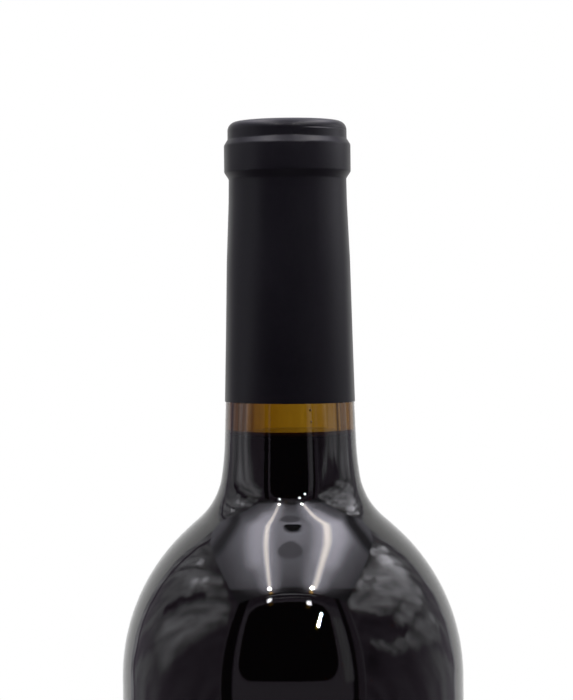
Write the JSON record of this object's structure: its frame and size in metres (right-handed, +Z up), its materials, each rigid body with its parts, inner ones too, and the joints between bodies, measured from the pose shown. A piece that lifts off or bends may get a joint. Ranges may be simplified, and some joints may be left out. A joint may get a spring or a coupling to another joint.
{
  "type": "wine bottle",
  "caption": "Full, sealed red wine bottle in olive glass, with sloping shoulders, a punted base and a matt black capsule over the neck.",
  "frame": {"origin": "centre of the flat ring that the bottle stands on", "axes": "+Z up along the bottle's axis, from its foot to its mouth; X and Y are alike, because the bottle is round"},
  "size_m": [0.077, 0.077, 0.3],
  "materials": {
    "glass": "clear olive-amber bottle glass, polished",
    "capsule": "matt black shrunk sleeve, very fine grain",
    "wine": "deep red wine that looks almost black in the bottle, with a still, glossy surface"
  },
  "bodies": {
    "root": {"bottle": "glass", "capsule": "capsule", "wine": "wine"}
  },
  "joints": []
}
